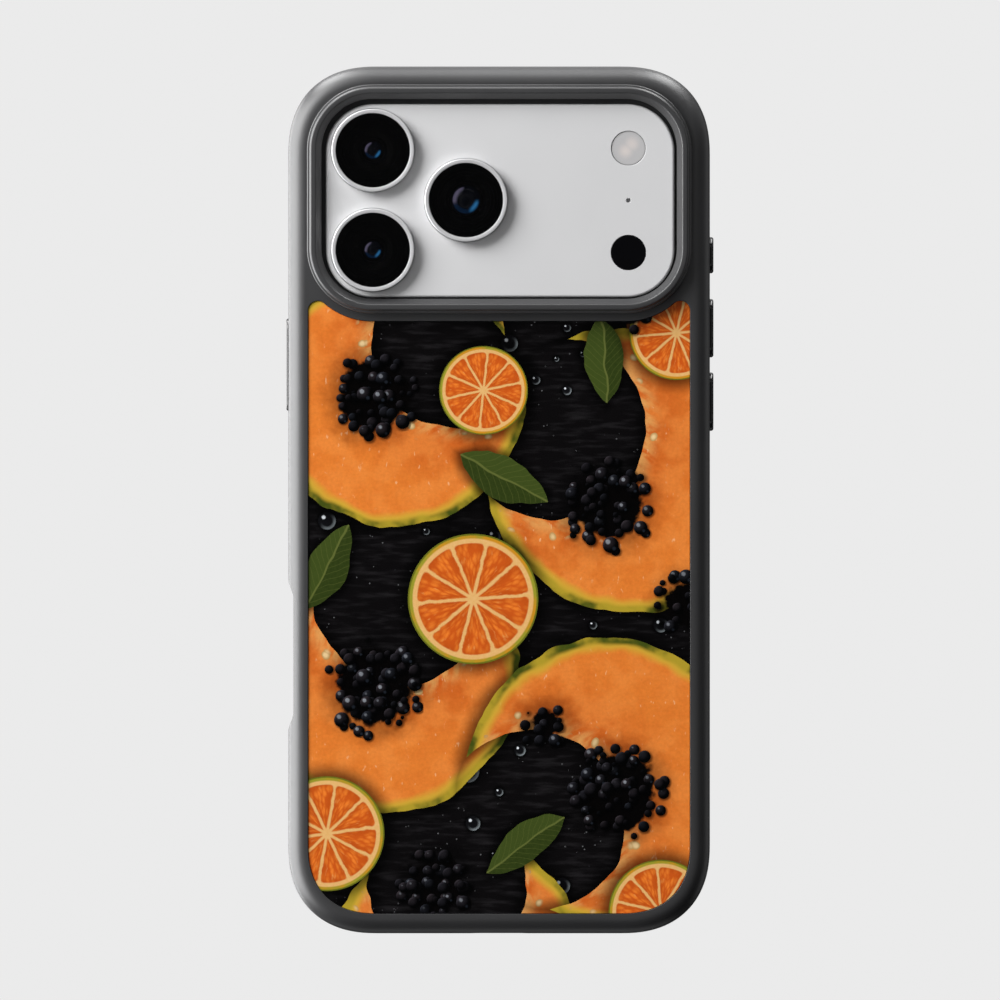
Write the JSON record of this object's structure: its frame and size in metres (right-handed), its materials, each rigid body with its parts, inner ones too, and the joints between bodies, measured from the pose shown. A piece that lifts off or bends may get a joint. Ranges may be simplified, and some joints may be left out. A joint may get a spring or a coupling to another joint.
{
  "type": "smartphone in a printed protective case",
  "caption": "Large smartphone in a black protective case with raised camera surround, button covers and a printed back plate, lying screen down.",
  "frame": {"origin": "middle of the outline, on the surface that the front lip rests on", "axes": "+X to the right and +Y up as the back is seen, +Z out of the back"},
  "size_m": [0.0819, 0.1662, 0.0144],
  "materials": {
    "sleeve": "fine matte, soft to the touch",
    "printed_plate": "hard, half gloss, printed",
    "silver_metal": "bead blasted, anodised",
    "lens_ring": "polished",
    "front_glass": "polished, black behind",
    "lens_cover": "polished",
    "lens_barrel": "matte black",
    "lens_element": "coated",
    "flash": "frosted",
    "sensor": "polished, black behind",
    "button_cover": "glossy",
    "capture_key": "polished",
    "screw": "turned",
    "socket": "matte black"
  },
  "bodies": {
    "handset": {"sleeve": "sleeve", "printed_plate": "printed_plate", "phone_body": "silver_metal", "upper_lens_ring": "lens_ring", "middle_lens_ring": "lens_ring", "lower_lens_ring": "lens_ring", "front_glass": "front_glass", "upper_lens_cover": "lens_cover", "middle_lens_cover": "lens_cover", "lower_lens_cover": "lens_cover", "upper_lens_barrel": "lens_barrel", "middle_lens_barrel": "lens_barrel", "lower_lens_barrel": "lens_barrel", "upper_lens_element": "lens_element", "middle_lens_element": "lens_element", "lower_lens_element": "lens_element", "flash_window": "flash", "depth_sensor_window": "sensor", "left_screw": "screw", "right_screw": "screw", "socket_tongue": "socket"},
    "action_button": {"action_cover": "button_cover"},
    "volume_up_button": {"volume_up_cover": "button_cover"},
    "volume_down_button": {"volume_down_cover": "button_cover"},
    "side_button": {"side_cover": "button_cover"},
    "capture_button": {"capture_key": "capture_key"}
  },
  "joints": [
    {"name": "action_press", "type": "slide", "parent": "handset", "child": "action_button", "axis": [-1, 0, 0], "range_m": [0, 0.00035], "stiffness_N_per_m": 3000},
    {"name": "volume_up_press", "type": "slide", "parent": "handset", "child": "volume_up_button", "axis": [-1, 0, 0], "range_m": [0, 0.00035], "stiffness_N_per_m": 3000},
    {"name": "volume_down_press", "type": "slide", "parent": "handset", "child": "volume_down_button", "axis": [-1, 0, 0], "range_m": [0, 0.00035], "stiffness_N_per_m": 3000},
    {"name": "side_press", "type": "slide", "parent": "handset", "child": "side_button", "axis": [1, 0, 0], "range_m": [0, 0.00035], "stiffness_N_per_m": 3000},
    {"name": "capture_press", "type": "slide", "parent": "handset", "child": "capture_button", "axis": [1, 0, 0], "range_m": [0, 0.0002], "stiffness_N_per_m": 3000}
  ]
}
